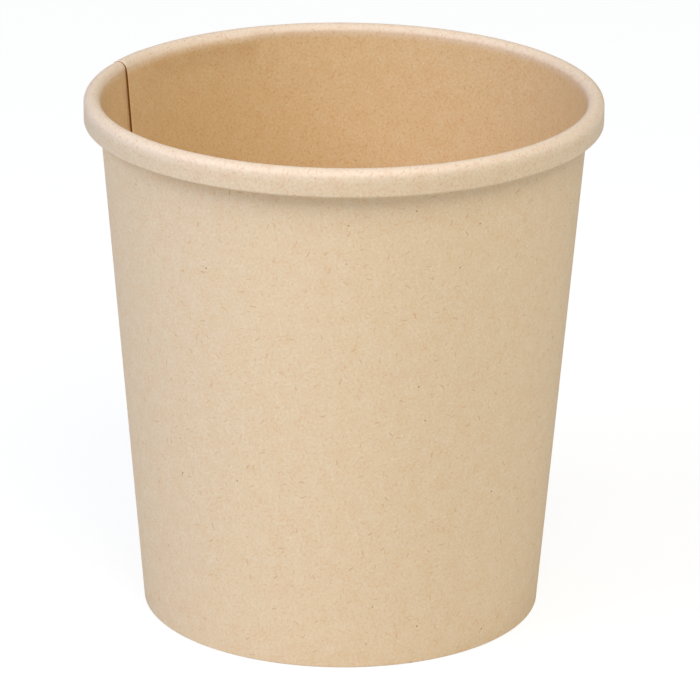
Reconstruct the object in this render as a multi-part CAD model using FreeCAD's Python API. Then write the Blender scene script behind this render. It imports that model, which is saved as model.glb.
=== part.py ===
# Paper tub for ice cream, made as such tubs are made, from two pieces of coated board:
# a side wall, which is one fan-shaped sheet wrapped round with a lapped seam, rolled
# outwards at the top into a rim and folded inwards at the foot, and a base disc, whose
# turned-down skirt is held in that fold.
# Millimetres. The origin is the centre of the circle that the tub stands on, +Z is up.
import FreeCAD, Part
import os
from math import asin, atan2, cos, degrees, hypot, radians, sin, sqrt, tan

# Overall sizes
RIM_DIAMETER = 98.0       # across the rolled rim, the size that a lid is sold for
BASE_DIAMETER = 76.2      # across the foot
HEIGHT = 101.3            # from the standing face to the crown of the rim

# The two boards, and the film that seals one face to another
WALL_BOARD = 0.42
DISC_BOARD = 0.36
SEAL_FILM = 0.02

# Rolled rim: round on top, upright outside, creased in below with its cut edge tucked away
RIM_WIDTH = 3.15          # across the roll, from the inside of the wall to the outside
RIM_DEPTH = 5.15          # from the crown to the underside
RIM_TAIL = 1.2            # board that turns up inside the roll
RIM_TAIL_GAP = 0.15       # between that tail and the wall

# Foot: the board creased and folded round the disc's skirt, pressed flat where the tub stands
HEM_LENGTH = 5.8          # board turned back up inside the skirt
BASE_RECESS = 8.0         # from the standing face to the underside of the disc
DISC_BEND_INSIDE = 0.5    # inside radius where the disc turns down into its skirt
SKIRT_GAP = 0.3           # between the skirt's cut edge and the bottom of the fold

# Side seam: the board's two ends lie on each other, and each cut edge shows as a step
SEAM_ANGLE = 155.8        # where the inner cut edge lies, from +X towards +Y
LAP_WIDTH = 7.0           # of the two ends on each other, measured inside the rim
LAP_STEP = 0.35           # height of a cut edge over its neighbour, after pressing
LAP_LEFT = 0.02           # what is left of that height where an end has been passed
LAP_SHORT = 30.0          # degrees of a bend's far side that the step doesn't reach
LAP_SET_BACK = 0.1        # between the ends of a step and what it runs up to
LAP_ROOT = 0.15           # how deep the step's own board is joined to the wall's
LAP_SECTIONS = 5

AXIS = FreeCAD.Vector(0, 0, 1)
CENTRE = FreeCAD.Vector(0, 0, 0)

# A heading is in degrees in a plane through the axis, from straight outwards
OUTWARDS = 0.0
UPWARDS = 90.0
INWARDS = 180.0
DOWNWARDS = -90.0

# What follows from the sizes above
rim_radius = RIM_DIAMETER / 2
crown_radius = RIM_WIDTH / 2
crown_inside = crown_radius - WALL_BOARD
crown_centre = (rim_radius - crown_radius, HEIGHT - crown_radius)
rim_under = HEIGHT - RIM_DEPTH
foot_centre = (BASE_DIAMETER / 2 - WALL_BOARD, WALL_BOARD)
disc_corner = DISC_BEND_INSIDE + DISC_BOARD
disc_top = BASE_RECESS + DISC_BOARD

# The wall touches the outer corner of the foot and the inside of the crown
rise = crown_centre[1] - foot_centre[1]
spread = crown_centre[0] - foot_centre[0]
reach = WALL_BOARD + crown_inside
taper = degrees(atan2(spread, rise) - asin(reach / hypot(rise, spread)))
wall_length = sqrt(rise ** 2 + spread ** 2 - reach ** 2)
up_the_wall = UPWARDS - taper
off_the_inside = up_the_wall + 90
off_the_outside = up_the_wall - 90

# The fold leaves room for the skirt with a film on either face
hem_gap = DISC_BOARD + 2 * SEAL_FILM
standing_width = hem_gap / cos(radians(taper))
hem_centre = (foot_centre[0] - standing_width, WALL_BOARD)


def step(point, heading, distance):
    """The point that lies a distance from another, along a heading."""
    angle = radians(heading)
    return (point[0] + distance * cos(angle), point[1] + distance * sin(angle))


def beside_wall(height, depth):
    """The radius, at a height, of a line that runs at a depth under the outer face."""
    foot = step(foot_centre, off_the_outside, WALL_BOARD)
    tilt = radians(taper)
    return foot[0] + (height - foot[1]) * tan(tilt) - depth / cos(tilt)


def place(point):
    """A point of a section, in the plane through the axis and +X."""
    return FreeCAD.Vector(point[0], 0, point[1])


def line(start, end):
    return Part.makeLine(place(start), place(end))


def arc(start, middle, end):
    return Part.Arc(place(start), place(middle), place(end)).toShape()


def run(length):
    """A straight move of a board's middle line."""
    return ("run", length, 0)


def bend(inside_radius, thickness, turn):
    """A bend of a board's middle line, to the left where the turn is positive."""
    return ("bend", inside_radius + thickness / 2, turn)


def crease(thickness, turn):
    """A bend so tight that its inside is a sharp corner."""
    return bend(0, thickness, turn)


def walk(start, heading, moves, side):
    """The edges of one face of a bent board, which lies side to the left of its middle
    line, with the first and last points of that face."""
    first = step(start, heading + 90, side)
    point = first
    edges = []
    for kind, size, turn in moves:
        if kind == "run":
            following = step(point, heading, size)
            edges.append(line(point, following))
        else:
            hand = 1 if turn > 0 else -1
            radius = size - hand * side
            centre = step(point, heading + 90 * hand, radius)
            outwards = heading - 90 * hand
            middle = step(centre, outwards + turn / 2, radius)
            following = step(centre, outwards + turn, radius)
            if radius > 0:
                edges.append(arc(point, middle, following))
            heading += turn
        point = following
    return edges, first, point


def bent_board(start, heading, moves, thickness):
    """A board that goes once round the axis, from the moves of its middle line."""
    left, left_first, left_last = walk(start, heading, moves, thickness / 2)
    right, right_first, right_last = walk(start, heading, moves, -thickness / 2)
    caps = [line(left_first, right_first), line(left_last, right_last)]
    section = Part.Wire(Part.__sortEdges__(left + right + caps))
    return Part.Face(section).revolve(CENTRE, AXIS, 360)


def wall_board():
    """The side wall's sheet, from the hem's cut edge round the foot, up the wall, over
    the crown and round the roll to the cut edge inside it."""
    hem_foot = step(hem_centre, off_the_inside, WALL_BOARD / 2)
    hem_edge = step(hem_foot, up_the_wall, HEM_LENGTH)
    tail_foot = beside_wall(rim_under + WALL_BOARD, -WALL_BOARD - RIM_TAIL_GAP)
    moves = [
        run(HEM_LENGTH),
        crease(WALL_BOARD, INWARDS - up_the_wall),
        run(standing_width),
        crease(WALL_BOARD, up_the_wall),
        run(wall_length),
        bend(crown_inside, WALL_BOARD, DOWNWARDS - up_the_wall),
        run(RIM_DEPTH - crown_radius - WALL_BOARD),
        crease(WALL_BOARD, DOWNWARDS),
        run(rim_radius - WALL_BOARD - tail_foot),
        crease(WALL_BOARD, DOWNWARDS - taper),
        run(RIM_TAIL),
    ]
    return bent_board(hem_edge, up_the_wall - 180, moves, WALL_BOARD)


def lap_section(height, centre, radius, off_face, fade_to, along, length):
    """The section of a seam's step: it stands a height off a straight face, and thins
    out to nothing round the bend at that face's end."""
    half_way = (off_face + fade_to) / 2
    back = radius - LAP_ROOT
    top_bend = step(centre, off_face, radius + height)
    back_bend = step(centre, off_face, back)
    top_end = step(centre, fade_to, radius)
    back_end = step(centre, fade_to, back)
    top_far = step(top_bend, along, length)
    back_far = step(back_bend, along, length)
    edges = [
        line(top_far, top_bend),
        arc(top_bend, step(centre, half_way, radius + height / 2), top_end),
        line(top_end, back_end),
        arc(back_end, step(centre, half_way, back), back_bend),
        line(back_bend, back_far),
        line(back_far, top_far),
    ]
    return Part.Wire(edges)


def lap_step(highest_at_inner_edge, centre, radius, off_face, fade_to, along, length):
    """One step of the seam, a wedge between the two cut edges that is as high as the
    pressed board at its own edge and dies out at the other."""
    lap_angle = degrees(LAP_WIDTH / (rim_radius - RIM_WIDTH))
    sections = []
    for index in range(LAP_SECTIONS):
        share = index / (LAP_SECTIONS - 1)
        fullness = 1 - share if highest_at_inner_edge else share
        height = LAP_LEFT + (LAP_STEP - LAP_LEFT) * fullness
        section = lap_section(height, centre, radius, off_face, fade_to, along, length)
        section.rotate(CENTRE, AXIS, SEAM_ANGLE - lap_angle * share)
        sections.append(section)
    return Part.makeLoft(sections, True, True)


def inner_step():
    """The inner cut edge: from above the disc, up the inside and over the crown."""
    crown_foot = step(crown_centre, off_the_inside, crown_radius)
    low_end = disc_top + LAP_SET_BACK
    length = (crown_foot[1] - low_end) / cos(radians(taper))
    return lap_step(True, crown_centre, crown_radius, off_the_inside,
                    OUTWARDS + LAP_SHORT, up_the_wall - 180, length)


def outer_step():
    """The outer cut edge: from under the roll, down the outside and round the foot."""
    foot = step(foot_centre, off_the_outside, WALL_BOARD)
    high_end = rim_under - LAP_SET_BACK
    length = (high_end - foot[1]) / cos(radians(taper))
    return lap_step(False, foot_centre, WALL_BOARD, off_the_outside,
                    DOWNWARDS + LAP_SHORT, up_the_wall, length)


def hem_step():
    """The same edge where the board is turned back up inside the foot."""
    return lap_step(False, hem_centre, WALL_BOARD, off_the_inside,
                    DOWNWARDS + 360 - LAP_SHORT, up_the_wall, HEM_LENGTH - LAP_SET_BACK)


def side_wall():
    return wall_board().fuse([inner_step(), outer_step(), hem_step()])


def base_disc():
    """The disc, bent down into a skirt that lies against the inside of the wall."""
    bend_height = BASE_RECESS - DISC_BEND_INSIDE
    bend_radius = beside_wall(bend_height, WALL_BOARD + SEAL_FILM + disc_corner)
    skirt_top = bend_height - (DISC_BEND_INSIDE + DISC_BOARD / 2) * sin(radians(taper))
    skirt_length = (skirt_top - WALL_BOARD - SKIRT_GAP) / cos(radians(taper))
    moves = [
        run(bend_radius),
        bend(DISC_BEND_INSIDE, DISC_BOARD, DOWNWARDS - taper),
        run(skirt_length),
    ]
    return bent_board((0, BASE_RECESS + DISC_BOARD / 2), OUTWARDS, moves, DISC_BOARD)


os.makedirs("parts", exist_ok=True)
side_wall().exportStep("parts/side_wall.step")
base_disc().exportStep("parts/base_disc.step")
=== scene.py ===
import math
import bmesh
import bpy
from mathutils import Matrix, Vector


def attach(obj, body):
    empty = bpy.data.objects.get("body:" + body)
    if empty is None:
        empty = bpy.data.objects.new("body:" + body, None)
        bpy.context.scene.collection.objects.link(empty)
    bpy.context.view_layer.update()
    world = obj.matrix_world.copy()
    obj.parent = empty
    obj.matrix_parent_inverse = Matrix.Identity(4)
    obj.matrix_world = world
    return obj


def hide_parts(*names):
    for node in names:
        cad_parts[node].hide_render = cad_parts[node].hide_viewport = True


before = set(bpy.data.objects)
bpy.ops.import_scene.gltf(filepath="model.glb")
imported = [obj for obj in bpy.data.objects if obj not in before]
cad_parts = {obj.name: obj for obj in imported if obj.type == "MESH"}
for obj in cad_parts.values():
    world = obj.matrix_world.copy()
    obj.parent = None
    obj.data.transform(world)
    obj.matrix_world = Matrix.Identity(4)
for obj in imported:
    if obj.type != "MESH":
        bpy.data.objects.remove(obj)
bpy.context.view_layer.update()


# Side wall
# One fan-shaped sheet of kraft board, wrapped round and heat sealed where its two ends lap. Its
# upper edge is rolled outwards into the rim, and its lower edge is folded up inside the foot.
BOARD = 0.00042
RIM_RADIUS = 0.049
FOOT_RADIUS = 0.0381
HEIGHT = 0.1013
CROWN = 0.001575             # radius of the roll's round top
RIM_DEPTH = 0.00515
RIM_TAIL = 0.0012
TAIL_GAP = 0.00015
CREASE = 0.00024             # radius of the tight corners, at the middle of the board
HEM = 0.0058
SKIRT_ROOM = 0.0004          # between the wall and the hem
INNER_EDGE = 155.8           # degrees round from +X where the inner end of the sheet stops
LAP = 8.7                    # degrees that the two ends lie on each other
LAP_EASE = 6.0               # degrees over which an end moves back into line
LAP_OUT = 0.00021            # how far the outer end is pushed off the wall's line
LAP_IN = 0.00034             # how far the inner end is, a little clear of the outer one
LAP_ON_CROWN = 0.00008       # how far either is on top of the roll
LAP_PRESSED = 0.00003        # and where the board is pressed
LAP_RISE = 0.006             # length above the foot over which the ends come apart
CURL_LENGTH = 0.006          # of the wall's upper end, which takes part in the roll
WORN = 0.00007               # corner of the inner end's cut edge


def hex_colour(text):
    """An sRGB hex colour as linear red, green and blue, with full alpha."""
    parts = [int(text[place:place + 2], 16) / 255 for place in (1, 3, 5)]
    return [c / 12.92 if c <= 0.04045 else ((c + 0.055) / 1.055) ** 2.4 for c in parts] + [1.0]


def add_node(tree, kind, inputs=None, **settings):
    """Adds a node with its settings, and sets or links its inputs by name or number."""
    node = tree.nodes.new(kind)
    for name, value in settings.items():
        setattr(node, name, value)
    for name, value in (inputs or {}).items():
        if isinstance(value, bpy.types.NodeSocket):
            tree.links.new(value, node.inputs[name])
        else:
            node.inputs[name].default_value = value
    return node


def fibres(tree, flat, spacing_mm, length_mm, width_mm, curl, share, seed):
    """A layer of short curled fibres that lie every way in the sheet, as a mask from 0 to 1."""
    per_cell = 1000 / spacing_mm
    spread_out = add_node(tree, "ShaderNodeVectorMath",
                          {0: flat, 1: (per_cell,) * 3, 2: (seed,) * 3},
                          operation="MULTIPLY_ADD").outputs[0]
    cells = add_node(tree, "ShaderNodeTexVoronoi", {"Vector": spread_out, "Scale": 1.0},
                     voronoi_dimensions="2D")
    from_middle = add_node(tree, "ShaderNodeVectorMath",
                           {0: spread_out, 1: cells.outputs["Position"]},
                           operation="SUBTRACT").outputs[0]
    chance = add_node(tree, "ShaderNodeSeparateColor", {"Color": cells.outputs["Color"]})
    lie = add_node(tree, "ShaderNodeMath", {0: chance.outputs[0], 1: 2 * math.pi},
                   operation="MULTIPLY").outputs[0]
    turned = add_node(tree, "ShaderNodeVectorRotate", {"Vector": from_middle, "Angle": lie},
                      rotation_type="Z_AXIS").outputs[0]
    place = add_node(tree, "ShaderNodeSeparateXYZ", {0: turned})
    bow = add_node(tree, "ShaderNodeMath", {0: place.outputs[0], 1: place.outputs[0]},
                   operation="MULTIPLY").outputs[0]
    side = add_node(tree, "ShaderNodeMath", {0: bow, 1: curl, 2: place.outputs[1]},
                    operation="MULTIPLY_ADD").outputs[0]
    off_line = add_node(tree, "ShaderNodeMath", {0: side}, operation="ABSOLUTE").outputs[0]
    off_middle = add_node(tree, "ShaderNodeMath", {0: place.outputs[0]},
                          operation="ABSOLUTE").outputs[0]
    half_width = width_mm / spacing_mm / 2
    half_length = length_mm / spacing_mm / 2
    across = add_node(tree, "ShaderNodeMapRange",
                      {0: off_line, 1: half_width * 1.6, 2: half_width * 0.4, 3: 0.0, 4: 1.0},
                      interpolation_type="SMOOTHSTEP").outputs[0]
    lengthwise = add_node(tree, "ShaderNodeMapRange",
                          {0: off_middle, 1: half_length, 2: half_length * 0.6, 3: 0.0, 4: 1.0},
                          interpolation_type="SMOOTHSTEP").outputs[0]
    there = add_node(tree, "ShaderNodeMapRange",
                     {0: chance.outputs[1], 1: 1 - share, 2: 1.0, 3: 0.0, 4: 1.0}).outputs[0]
    line = add_node(tree, "ShaderNodeMath", {0: across, 1: lengthwise},
                    operation="MULTIPLY").outputs[0]
    return add_node(tree, "ShaderNodeMath", {0: line, 1: there}, operation="MULTIPLY").outputs[0]


def tint(tree, colour, mask, towards, amount):
    """The colour, moved towards another by a share of the mask."""
    strength = add_node(tree, "ShaderNodeMath", {0: mask, 1: amount}, operation="MULTIPLY")
    return add_node(tree, "ShaderNodeMix",
                    {0: strength.outputs[0], 6: colour, 7: hex_colour(towards)},
                    data_type="RGBA").outputs[2]


def kraft_board(name, base, roll_painted_sheen, crown_painted_highlight, deep, pale, marks, roughness, coat):
    """Unbleached kraft board with clouded pulp and stray fibres lying flat in its face."""
    material = bpy.data.materials.new(name)
    material.use_nodes = True
    tree = material.node_tree
    shader = tree.nodes["Principled BSDF"]
    shader.inputs["Roughness"].default_value = roughness
    shader.inputs["IOR"].default_value = 1.5
    shader.inputs["Coat Weight"].default_value = coat
    shader.inputs["Coat Roughness"].default_value = 0.35
    flat = add_node(tree, "ShaderNodeUVMap", uv_map="Blank").outputs[0]
    # Painted sheen: the board is painted paler and greyer over the roll, which lies beyond the
    # wall's inner face, and palest on the crown, a painted highlight
    place = add_node(tree, "ShaderNodeTexCoord").outputs["Object"]
    level = add_node(tree, "ShaderNodeVectorMath", {0: place, 1: (1, 1, 0)},
                     operation="MULTIPLY").outputs[0]
    radius = add_node(tree, "ShaderNodeVectorMath", {0: level}, operation="LENGTH").outputs["Value"]
    height = add_node(tree, "ShaderNodeSeparateXYZ", {0: place}).outputs[2]
    colour = add_node(tree, "ShaderNodeRGB").outputs[0]
    colour.default_value = hex_colour(base)
    for measure, start, end, shade in (
            (radius, RIM_RADIUS - 2 * CROWN, RIM_RADIUS - CROWN, roll_painted_sheen),
            (height, HEIGHT - 0.0026, HEIGHT - 0.0009, crown_painted_highlight)):
        sheen_mask = add_node(tree, "ShaderNodeMapRange",
                             {0: measure, 1: start, 2: end, 3: 0.0, 4: 1.0}).outputs[0]
        colour = tint(tree, colour, sheen_mask, shade, 1.0)
    # Pulp clouds about 3 mm across, and flocks of fibre about 0.5 mm across
    for size_mm, amount in ((3, 0.11), (0.5, 0.22)):
        pulp = add_node(tree, "ShaderNodeTexNoise",
                        {"Vector": flat, "Scale": 1000 / size_mm, "Detail": 1.0, "Roughness": 0.6},
                        noise_dimensions="2D").outputs[0]
        for shade, end in ((deep, 0.8), (pale, 0.2)):
            cloud = add_node(tree, "ShaderNodeMapRange",
                             {0: pulp, 1: 0.5, 2: end, 3: 0.0, 4: 1.0}).outputs[0]
            colour = tint(tree, colour, cloud, shade, amount)
    # Faint fibres everywhere, a few that stand out, and here and there a speck of bark. Spacing,
    # length and width are in millimetres.
    for spacing, length, width, curl, share, seed, shade, amount in (
            (1.2, 1.0, 0.16, 0.9, 0.8, 3.1, deep, 0.5),
            (1.5, 1.1, 0.16, 0.6, 0.7, 41.3, pale, 0.3),
            (3.2, 1.3, 0.18, 0.9, 0.6, 29.9, "#b8702c", 0.45 * marks),
            (7.0, 0.34, 0.3, 0.0, 0.2, 83.4, "#84501f", 0.85 * marks)):
        lying = fibres(tree, flat, spacing, length, width, curl, share, seed)
        colour = tint(tree, colour, lying, shade, amount)
    tree.links.new(colour, shader.inputs["Base Color"])
    # Fibres just under the surface lift it by about a hundredth of a millimetre
    bump = add_node(tree, "ShaderNodeBump", {"Strength": 0.3, "Distance": 0.00001, "Height": pulp})
    tree.links.new(bump.outputs[0], shader.inputs["Normal"])
    return material


# Uncoated kraft outside: matt, pale and warm. The inside has a thin clear barrier film, which
# deepens its colour and gives it a faint sheen. A cut edge shows the darker pulp of the core,
# with painted shade of the narrow gap beside it on top, and its worn corner is painted paler, a
# painted highlight.
kraft_outside = kraft_board("kraft_board_uncoated", "#e1c9a8", "#e1c9a8", "#e1c9a8",
                            "#d9a565", "#f0e5d2", 1.0, 0.85, 0.0)
# Its roll and crown colours are paler than its base: painted sheen on the roll, a painted highlight
# on the crown
kraft_inside = kraft_board("kraft_board_film_coated", "#e3c393", "#dcc6a8", "#ebd6bf",
                           "#cf8d4c", "#f0e0c4", 0.5, 0.65, 0.3)
# The cut edge's dark colour is partly the core's pulp and partly painted shade of the gap beside it
edge_core_and_painted_shade = kraft_board("kraft_board_edge_core_and_painted_shade", "#84520b", "#7a5022", "#84592c",
                       "#643f08", "#936021", 0.4, 0.9, 0.0)
# The worn corner's paler colour is a painted highlight, where the corner catches the light
corner_painted_highlight = kraft_board("kraft_board_corner_painted_highlight", "#f3d6a8", "#ecd9bd", "#f3e0c8",
                             "#d9ac6c", "#f8ead0", 0.4, 0.6, 0.3)


def direction(heading):
    """A step of one metre along a heading, in degrees from straight out, in the XZ plane."""
    return Vector((math.cos(math.radians(heading)), 0, math.sin(math.radians(heading))))


def draw_run(heading, length):
    """Extrudes the end of the drawn outline straight on."""
    bpy.ops.mesh.extrude_region_move(TRANSFORM_OT_translate={"value": direction(heading) * length})


def draw_bend(piece, heading, radius, turn, steps):
    """Spins the end of the drawn outline round a bend's centre, to the left if turn is positive."""
    sketch = bmesh.from_edit_mesh(piece.data)
    end = next(vertex.co.copy() for vertex in sketch.verts if vertex.select)
    side = math.copysign(90, turn)
    centre = piece.matrix_world @ end + direction(heading + side) * radius
    bpy.ops.mesh.spin(steps=steps, angle=math.radians(turn), center=centre, axis=(0, 1, 0))
    return heading + turn


def start_outline(name, place):
    """A new object in edit mode with one vertex, at a place in the XZ plane."""
    bpy.ops.object.select_all(action="DESELECT")
    bpy.ops.mesh.primitive_plane_add(size=0.001, location=place)
    piece = bpy.context.object
    piece.name = name
    bpy.ops.object.transform_apply(location=True)
    bpy.ops.object.mode_set(mode="EDIT")
    bpy.ops.mesh.merge(type="CENTER")
    return piece


crease_outside = CREASE + BOARD / 2
rise = (HEIGHT - CROWN) - crease_outside
spread = (RIM_RADIUS - CROWN) - (FOOT_RADIUS - crease_outside)
reach = crease_outside + CROWN - BOARD
taper = math.degrees(math.atan2(spread, rise) - math.asin(reach / math.hypot(rise, spread)))
wall_length = math.sqrt(rise ** 2 + spread ** 2 - reach ** 2)
up = 90 - taper
tilt = math.radians(taper)
foot_centre = Vector((FOOT_RADIUS - crease_outside, 0, crease_outside))
standing = (SKIRT_ROOM - 2 * (CREASE - BOARD / 2)) / math.cos(tilt)
hem_centre = foot_centre - Vector((standing, 0, 0))
hem_edge = hem_centre + direction(up + 90) * CREASE + direction(up) * HEM
tail_height = HEIGHT - RIM_DEPTH + crease_outside
foot_touch = foot_centre + direction(up - 90) * crease_outside
tail_centre = (foot_touch.x + (tail_height - foot_touch.z) * math.tan(tilt)
               + (crease_outside + TAIL_GAP) / math.cos(tilt))

wall = start_outline("side_wall_sheet", hem_edge)
for material in (kraft_outside, kraft_inside, edge_core_and_painted_shade, corner_painted_highlight):
    wall.data.materials.append(material)
draw_run(up - 180, HEM)
heading = draw_bend(wall, up - 180, CREASE, 180 - up, 6)
draw_run(heading, standing)
heading = draw_bend(wall, heading, CREASE, up, 6)
for length, stretches in ((wall_length - CURL_LENGTH, 20), (CURL_LENGTH, 10)):
    for stretch in range(stretches):
        draw_run(heading, length / stretches)
heading = draw_bend(wall, heading, CROWN - BOARD / 2, -90 - up, 24)
draw_run(heading, RIM_DEPTH - CROWN - crease_outside)
heading = draw_bend(wall, heading, CREASE, -90, 6)
draw_run(heading, RIM_RADIUS - crease_outside - tail_centre)
heading = draw_bend(wall, heading, CREASE, -90 - taper, 6)
draw_run(heading, RIM_TAIL)

# Lengths along the outline are the flat sheet's own, so they are noted before it is wrapped
sketch = bmesh.from_edit_mesh(wall.data)
sketch.verts.index_update()
along_sheet = {}
corner = min((v for v in sketch.verts if len(v.link_edges) == 1),
             key=lambda v: (v.co - hem_edge).length)
passed = None
so_far = 0.0
while corner is not None:
    along_sheet[corner.index] = so_far
    onward = [edge for edge in corner.link_edges if edge is not passed]
    if not onward:
        break
    passed = onward[0]
    so_far += passed.calc_length()
    corner = passed.other_vert(corner)

# The outline is turned to where the outer end stops, and spun once round and over itself
bpy.ops.object.mode_set(mode="OBJECT")
wall.rotation_euler.z = math.radians(INNER_EDGE - LAP)
bpy.ops.object.transform_apply(rotation=True)
bpy.ops.object.mode_set(mode="EDIT")
bpy.ops.mesh.select_all(action="SELECT")
around = 360 + LAP
steps = 360
bpy.ops.mesh.spin(steps=steps, angle=math.radians(around), center=(0, 0, 0), axis=(0, 0, -1))
bpy.ops.mesh.select_all(action="SELECT")
bpy.ops.mesh.flip_normals()
bpy.ops.object.mode_set(mode="OBJECT")

# Spin copies the outline in its own order, so a point's number tells how far round it is
outline_points = len(along_sheet)
degrees_round = [index // outline_points * around / steps
                 for index in range(len(wall.data.vertices))]

# The blank's own flat coordinates, in metres: part of a ring about the cone's tip
slant_to_tip = (FOOT_RADIUS - BOARD / 2) / math.sin(tilt) - HEM
blank = wall.data.uv_layers.new(name="Blank")
for loop in wall.data.loops:
    slant = slant_to_tip + along_sheet[loop.vertex_index % outline_points]
    turn = math.radians(degrees_round[loop.vertex_index]) * math.sin(tilt)
    blank.data[loop.index].uv = (slant * math.sin(turn), slant * math.cos(turn) - slant_to_tip)


def ease(value, start, end):
    """Rises smoothly from 0 at the start to 1 at the end, whichever is greater."""
    share = min(max((value - start) / (end - start), 0), 1)
    return share * share * (3 - 2 * share)


def between(stations, value):
    """Reads a list of (place, height) points as a line drawn through them."""
    for (start, low), (end, high) in zip(stations, stations[1:]):
        if value <= end:
            return low + (high - low) * max(value - start, 0) / (end - start)
    return stations[-1][1]


# Where the two ends lie on each other, each is pushed off the line and eases back beyond. The
# foot and the roll press them almost flat.
wall_at = HEM + CREASE * math.radians(180) + standing
crown_at = wall_at + wall_length
crown_arc = (CROWN - BOARD / 2) * math.radians(90)
outer_lift = [(0, LAP_OUT), (HEM, 0), (wall_at, 0), (wall_at + LAP_RISE, LAP_OUT),
              (crown_at - 0.001, LAP_OUT), (crown_at + crown_arc, LAP_ON_CROWN),
              (crown_at + 2 * crown_arc, LAP_PRESSED), (1, LAP_PRESSED)]
inner_lift = [(0, -LAP_OUT), (HEM, -LAP_PRESSED), (wall_at, -LAP_PRESSED),
              (wall_at + LAP_RISE, -LAP_IN), (crown_at - 0.001, -LAP_IN),
              (crown_at + crown_arc, -LAP_ON_CROWN),
              (crown_at + 2 * crown_arc, -LAP_PRESSED), (1, -LAP_PRESSED)]
# The curl came out slacker at the back, and draws tight again at a small kink
slack = [(0, 0), (crown_at - 0.005, 0), (crown_at - 0.0025, 0.00022), (crown_at - 0.0008, 0.00042),
         (crown_at, 0.00034), (crown_at + 0.25 * crown_arc, 0.00014),
         (crown_at + 0.55 * crown_arc, 0), (1, 0)]
KINK_AT = 111.7              # degrees round from +X
KINK_EASE = 2.5
SLACK_TO = 153.0
SLACK_EASE = 12

moves = []
for index, turn in enumerate(degrees_round):
    at = along_sheet[index % outline_points]
    move = between(outer_lift, at) * ease(turn, LAP + LAP_EASE, LAP)
    move += between(inner_lift, at) * ease(around - turn, LAP + LAP_EASE, LAP)
    facing = (INNER_EDGE - LAP + turn) % 360
    loose = (ease(facing, KINK_AT, KINK_AT + KINK_EASE)
             * ease(facing, SLACK_TO, SLACK_TO - SLACK_EASE))
    moves.append(move - between(slack, at) * loose)
furthest = max(abs(move) for move in moves)
bpy.context.view_layer.objects.active = wall
for group_name, way in (("pushed_out", 1), ("pushed_in", -1)):
    group = wall.vertex_groups.new(name=group_name)
    for index, move in enumerate(moves):
        group.add([index], max(move * way, 0) / furthest, "REPLACE")
    push = wall.modifiers.new(group_name, "DISPLACE")
    push.vertex_group = group_name
    push.mid_level = 0
    push.strength = furthest * way
    bpy.ops.object.modifier_apply(modifier=push.name)
thicken = wall.modifiers.new("board", "SOLIDIFY")
thicken.thickness = BOARD
thicken.offset = 0
thicken.use_even_offset = True
thicken.material_offset = 1
thicken.material_offset_rim = 2
bpy.ops.object.modifier_apply(modifier=thicken.name)
wall.vertex_groups.clear()

# The corner of the inner end's cut edge is worn a little round, and the rounding takes the paler
# corner material, a painted highlight
bpy.ops.object.mode_set(mode="EDIT")
bpy.ops.mesh.select_all(action="DESELECT")
bpy.ops.mesh.select_mode(type="EDGE")
sketch = bmesh.from_edit_mesh(wall.data)
for edge in sketch.edges:
    faces = {face.material_index for face in edge.link_faces}
    at_end = all(abs(math.degrees(math.atan2(corner.co.y, corner.co.x)) - INNER_EDGE) < 0.1
                 for corner in edge.verts)
    edge.select = at_end and faces == {1, 2}
sketch.select_flush_mode()
bmesh.update_edit_mesh(wall.data)
bpy.ops.mesh.bevel(offset=WORN, segments=2, material=3)
bpy.ops.mesh.select_mode(type="VERT")
bpy.ops.object.mode_set(mode="OBJECT")
bpy.ops.object.shade_smooth_by_angle(angle=math.radians(35))
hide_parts("side_wall")
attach(wall, "root")


# Base disc
# A punched disc of the same kraft board, its edge turned down into a skirt that is sealed
# between the wall and the wall's folded hem, so that the floor stands clear of the table.
DISC_BOARD = 0.00036
RECESS = 0.008               # from the table to the underside of the disc
DISC_BEND = 0.00068          # radius of the turned-down edge, at the middle of the board
SKIRT_END = 0.00072          # height of the skirt's cut edge
FILM = 0.00002

disc_bend_outside = DISC_BEND + DISC_BOARD / 2
bend_height = RECESS + DISC_BOARD / 2 - DISC_BEND
bend_centre = (foot_touch.x + (bend_height - foot_touch.z) * math.tan(tilt)
               - (BOARD + FILM + disc_bend_outside) / math.cos(tilt))
disc = start_outline("base_disc_sheet", Vector((0, 0, RECESS + DISC_BOARD / 2)))
for stretch in range(12):
    draw_run(0, bend_centre / 12)
heading = draw_bend(disc, 0, DISC_BEND, -90 - taper, 8)
draw_run(heading, (bend_height - DISC_BEND * math.sin(tilt) - SKIRT_END) / math.cos(tilt))
bpy.ops.mesh.select_all(action="SELECT")
bpy.ops.mesh.spin(steps=240, angle=math.radians(360), center=(0, 0, 0), axis=(0, 0, -1))
bpy.ops.mesh.select_all(action="SELECT")
bpy.ops.mesh.remove_doubles(threshold=0.000001)
bpy.ops.mesh.normals_make_consistent(inside=False)
bpy.ops.object.mode_set(mode="OBJECT")
flat_disc = disc.data.uv_layers.new(name="Blank")
for loop in disc.data.loops:
    place = disc.data.vertices[loop.vertex_index].co
    out = math.hypot(place.x, place.y)
    unrolled = out if place.z > RECESS else bend_centre + disc_bend_outside + RECESS - place.z
    stretch = unrolled / out if out > 0.001 else 1
    flat_disc.data[loop.index].uv = (place.x * stretch, place.y * stretch)
bpy.context.view_layer.objects.active = disc
thicken = disc.modifiers.new("board", "SOLIDIFY")
thicken.thickness = DISC_BOARD
thicken.offset = 0
thicken.use_even_offset = True
bpy.ops.object.modifier_apply(modifier=thicken.name)
bpy.ops.object.shade_smooth_by_angle(angle=math.radians(35))
disc.data.materials.append(kraft_inside)
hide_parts("base_disc")
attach(disc, "root")


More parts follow.
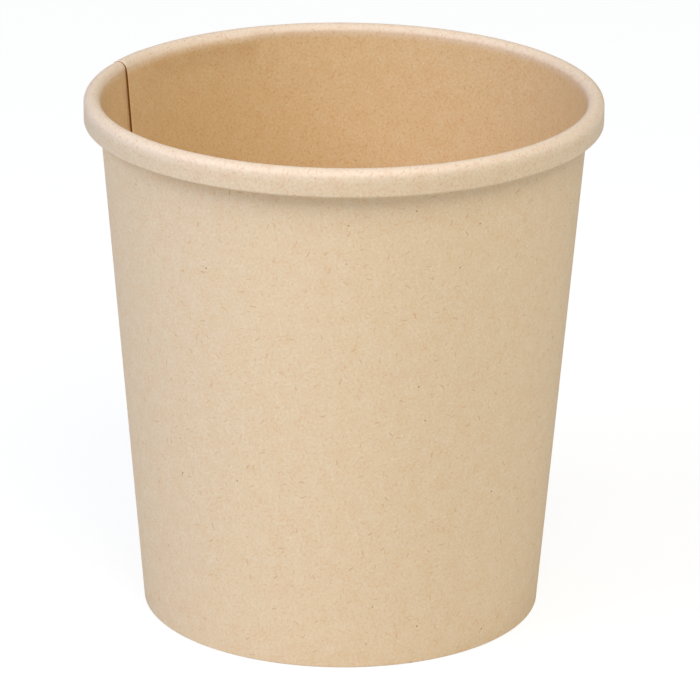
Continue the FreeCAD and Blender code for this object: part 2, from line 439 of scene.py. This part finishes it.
# Table
# A plain white surface. The camera sees it nearly white, and it keeps the tub's soft shadow.
bpy.ops.object.select_all(action="DESELECT")
bpy.ops.mesh.primitive_plane_add(size=8, location=(0, 0, -0.00005))
table = bpy.context.object
table.name = "table"
white = bpy.data.materials.new("matt_white_table")
white.use_nodes = True
tree = white.node_tree
tree.nodes["Principled BSDF"].inputs["Base Color"].default_value = hex_colour("#f0f0f0")
tree.nodes["Principled BSDF"].inputs["Roughness"].default_value = 0.9
glow = add_node(tree, "ShaderNodeEmission", {"Color": (1, 1, 1, 1), "Strength": 1.11})
rays = add_node(tree, "ShaderNodeLightPath")
share = add_node(tree, "ShaderNodeMath", {0: rays.outputs["Is Camera Ray"], 1: 0.75},
                 operation="MULTIPLY")
seen = add_node(tree, "ShaderNodeMixShader", {0: share.outputs[0],
                                              1: tree.nodes["Principled BSDF"].outputs[0],
                                              2: glow.outputs[0]})
tree.links.new(seen.outputs[0], tree.nodes["Material Output"].inputs["Surface"])
table.data.materials.append(white)


# Light
# A white room, a broad cool lamp on the left, a broad warm one high in front, and two weak ones,
# low down on the right and overhead.
world = bpy.data.worlds.new("white_room")
bpy.context.scene.world = world
world.use_nodes = True
world.node_tree.nodes["Background"].inputs["Color"].default_value = hex_colour("#f0fbff")
world.node_tree.nodes["Background"].inputs["Strength"].default_value = 0.285
LAMP_DISTANCE = 1.2
LAMP_SIZE = 0.8
LAMP_AIM = Vector((0, 0, 0.05))
for name, azimuth, elevation, power, colour in (
        ("cool_left", -58, 40, 7.8, "#dee6ff"),
        ("warm_front", 20, 50, 7.6, "#fff4de"),
        ("low_right", 110, 10, 1.75, "#ffffff"),
        ("overhead", 0, 85, 1.4, "#ffffff")):
    bpy.ops.object.light_add(type="AREA")
    lamp = bpy.context.object
    lamp.name = name
    lamp.data.shape = "DISK"
    lamp.data.size = LAMP_SIZE
    lamp.data.energy = power
    lamp.data.color = hex_colour(colour)[:3]
    turn = math.radians(azimuth)
    lift = math.radians(elevation)
    back = Vector((math.sin(turn) * math.cos(lift), -math.cos(turn) * math.cos(lift),
                   math.sin(lift)))
    lamp.location = LAMP_AIM + back * LAMP_DISTANCE
    lamp.rotation_euler = back.to_track_quat("Z", "Y").to_euler()


# Camera
# A long lens about a metre away, looking down on the tub's mouth from the front.
SIGHT = math.radians(19.19)
DISTANCE = 0.9895
AIM_HEIGHT = 0.0572
SWING = -0.0015              # small turns off that line, in radians
DIP = -0.0070
ROLL = 0.0075
bpy.ops.object.camera_add()
camera = bpy.context.object
camera.data.lens = 266.4
camera.data.sensor_width = 36
camera.data.clip_start = 0.01
camera.location = (0, -DISTANCE * math.cos(SIGHT), AIM_HEIGHT + DISTANCE * math.sin(SIGHT))
level = Matrix.Rotation(math.pi / 2 - SIGHT, 3, "X")
aside = Matrix.Rotation(SWING, 3, "Y")
tipped = Matrix.Rotation(DIP, 3, "X")
rolled = Matrix.Rotation(ROLL, 3, "Z")
camera.rotation_euler = (level @ aside @ tipped @ rolled).to_euler()
bpy.context.scene.camera = camera
bpy.context.scene.view_settings.view_transform = "Standard"
